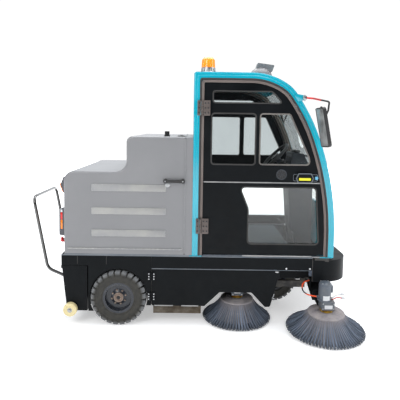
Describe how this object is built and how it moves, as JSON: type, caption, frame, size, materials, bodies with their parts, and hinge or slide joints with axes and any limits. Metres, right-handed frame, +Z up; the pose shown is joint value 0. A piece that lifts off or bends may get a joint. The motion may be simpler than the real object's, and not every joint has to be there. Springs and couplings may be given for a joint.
{
  "type": "ride-on street sweeper",
  "caption": "Compact three-wheeled ride-on street sweeper with an enclosed cab, stepped rear hood, side brushes, roller broom and a pull-out dust hopper.",
  "frame": {"origin": "middle of the bounding box, on the ground", "axes": "+X forward, +Y to the driver's left, +Z up"},
  "size_m": [2.5044, 1.8426, 1.977],
  "materials": {
    "teal_paint": "gloss enamel",
    "black_paint": "satin powder coat",
    "door_black": "semi-gloss moulded sheet",
    "hood_grey": "satin grey enamel",
    "seam_strip": "satin grey enamel",
    "cab_lining": "grained grey lining",
    "clear_glass": "clear safety glass",
    "frame_primer": "satin black paint",
    "tyre_rubber": "dusty block tread",
    "rim_paint": "blue-grey enamel",
    "flap_rubber": "brown rubber sheet",
    "grey_plastic": "moulded dash",
    "black_plastic": "fine grain",
    "seat_vinyl": "black seat vinyl",
    "amber_lens": "amber beacon lens",
    "lamp_silver": "bright base",
    "roof_grey": "grey paint",
    "lamp_clear": "clear lamp",
    "tail_black": "lamp housing",
    "steel_bright": "brushed stainless tube",
    "motor_grey": "grey motor enamel",
    "bristle": "blue-grey poly bristles",
    "nylon_cream": "cream nylon",
    "cable_orange": "orange-red cable",
    "battery_case": "plain black case"
  },
  "bodies": {
    "chassis": {"frame_rails": "frame_primer", "cross_members": "frame_primer", "steering_head": "frame_primer", "axle_brackets": "frame_primer", "nose_frame": "frame_primer", "deck": "black_paint", "side_skirts": "black_paint", "front_bumper": "black_paint", "cab_hoops": "teal_paint", "roof_panel": "teal_paint", "front_panel": "teal_paint", "cab_rear_wall": "cab_lining", "cab_glass": "clear_glass", "headlamps": "lamp_clear", "seat_base": "black_plastic", "seat_cushion": "seat_vinyl", "seat_back": "seat_vinyl", "dash_console": "grey_plastic", "pedals": "black_plastic", "mirrors": "black_plastic", "beacon_base": "lamp_silver", "beacon_lens": "amber_lens", "roof_lamp": "roof_grey", "hood_frame": "seam_strip", "battery_block": "battery_case", "mid_brush_motors": "motor_grey", "broom_plates": "black_paint", "rubber_flaps": "flap_rubber"},
    "hood": {"hood": "hood_grey", "hood_fittings": "black_plastic", "rear_lamps": "tail_black"},
    "steering_wheel": {"steering_wheel": "black_plastic"},
    "steering_fork": {"steering_fork": "black_paint"},
    "front_wheel": {"front_rim": "rim_paint", "front_tyre": "tyre_rubber"},
    "main_broom": {"main_broom": "bristle"},
    "hopper": {"dust_hopper": "black_paint", "hopper_handle": "steel_bright"},
    "hopper_rollers": {"hopper_rollers": "nylon_cream"},
    "door_left": {"door_left": "door_black", "door_glass_left": "clear_glass"},
    "side_flap_left": {"side_flap_left": "black_paint"},
    "rear_wheel_left": {"rear_rim_left": "rim_paint", "rear_tyre_left": "tyre_rubber"},
    "brush_arm_left": {"brush_arm_left": "black_paint", "brush_motor_left": "motor_grey", "brush_cable_left": "cable_orange"},
    "front_brush_left": {"front_brush_left": "bristle"},
    "mid_brush_left": {"mid_brush_left": "bristle"},
    "door_right": {"door_right": "door_black", "door_glass_right": "clear_glass"},
    "side_flap_right": {"side_flap_right": "black_paint"},
    "rear_wheel_right": {"rear_rim_right": "rim_paint", "rear_tyre_right": "tyre_rubber"},
    "brush_arm_right": {"brush_arm_right": "black_paint", "brush_motor_right": "motor_grey", "brush_cable_right": "cable_orange"},
    "front_brush_right": {"front_brush_right": "bristle"},
    "mid_brush_right": {"mid_brush_right": "bristle"}
  },
  "joints": [
    {"name": "steering", "type": "hinge", "parent": "chassis", "child": "steering_fork", "pos_m": [0.68925, 0, 0.48], "axis": [0, 0, 1], "range_deg": [-45, 45]},
    {"name": "front_wheel_spin", "type": "hinge", "parent": "steering_fork", "child": "front_wheel", "pos_m": [0.68925, 0, 0.205], "axis": [0, 1, 0], "continuous": true},
    {"name": "steering_wheel_turn", "type": "hinge", "parent": "chassis", "child": "steering_wheel", "pos_m": [0.69025, 0, 1.231], "axis": [-0.7071, 0, 0.7071], "range_deg": [-180, 180]},
    {"name": "hood_tilt", "type": "hinge", "parent": "chassis", "child": "hood", "pos_m": [-0.94475, 0, 0.549], "axis": [0, -1, 0], "range_deg": [0, 35]},
    {"name": "main_broom_spin", "type": "hinge", "parent": "chassis", "child": "main_broom", "pos_m": [-0.12075, 0, 0.174], "axis": [0, 1, 0], "continuous": true},
    {"name": "hopper_slide", "type": "slide", "parent": "chassis", "child": "hopper", "axis": [-1, 0, 0], "range_m": [0, 0.4]},
    {"name": "hopper_roller_spin", "type": "hinge", "parent": "hopper", "child": "hopper_rollers", "pos_m": [-0.88475, 0, 0.119], "axis": [0, 1, 0], "continuous": true},
    {"name": "rear_wheel_left_spin", "type": "hinge", "parent": "chassis", "child": "rear_wheel_left", "pos_m": [-0.53375, 0.522, 0.205], "axis": [0, 1, 0], "continuous": true},
    {"name": "door_left_swing", "type": "hinge", "parent": "chassis", "child": "door_left", "pos_m": [0.06225, 0.569, 1.1], "axis": [0, 0, 1], "range_deg": [0, 75]},
    {"name": "side_flap_left_swing", "type": "hinge", "parent": "chassis", "child": "side_flap_left", "pos_m": [-0.29075, 0.564, 0.29], "axis": [0, 0, 1], "range_deg": [0, 90]},
    {"name": "brush_arm_left_lift", "type": "hinge", "parent": "chassis", "child": "brush_arm_left", "pos_m": [0.92925, 0.4, 0.318], "axis": [1, 0, 0], "range_deg": [0, 12]},
    {"name": "front_brush_left_spin", "type": "hinge", "parent": "brush_arm_left", "child": "front_brush_left", "pos_m": [0.97225, 0.6425, 0.02938], "axis": [0, 0.0906, 0.9959], "continuous": true},
    {"name": "mid_brush_left_spin", "type": "hinge", "parent": "chassis", "child": "mid_brush_left", "pos_m": [0.35425, 0.4, 0.01771], "axis": [0, 0.0523, 0.9986], "continuous": true},
    {"name": "rear_wheel_right_spin", "type": "hinge", "parent": "chassis", "child": "rear_wheel_right", "pos_m": [-0.53375, -0.522, 0.205], "axis": [0, 1, 0], "continuous": true},
    {"name": "door_right_swing", "type": "hinge", "parent": "chassis", "child": "door_right", "pos_m": [0.06225, -0.569, 1.1], "axis": [0, 0, -1], "range_deg": [0, 75]},
    {"name": "side_flap_right_swing", "type": "hinge", "parent": "chassis", "child": "side_flap_right", "pos_m": [-0.29075, -0.564, 0.29], "axis": [0, 0, -1], "range_deg": [0, 90]},
    {"name": "brush_arm_right_lift", "type": "hinge", "parent": "chassis", "child": "brush_arm_right", "pos_m": [0.92925, -0.4, 0.318], "axis": [-1, 0, 0], "range_deg": [0, 12]},
    {"name": "front_brush_right_spin", "type": "hinge", "parent": "brush_arm_right", "child": "front_brush_right", "pos_m": [0.97225, -0.6425, 0.02938], "axis": [0, -0.0906, 0.9959], "continuous": true},
    {"name": "mid_brush_right_spin", "type": "hinge", "parent": "chassis", "child": "mid_brush_right", "pos_m": [0.35425, -0.4, 0.01771], "axis": [0, -0.0523, 0.9986], "continuous": true}
  ],
  "couplings": [
    {"joint": "steering_wheel_turn", "follows": "steering", "ratio": 4}
  ]
}
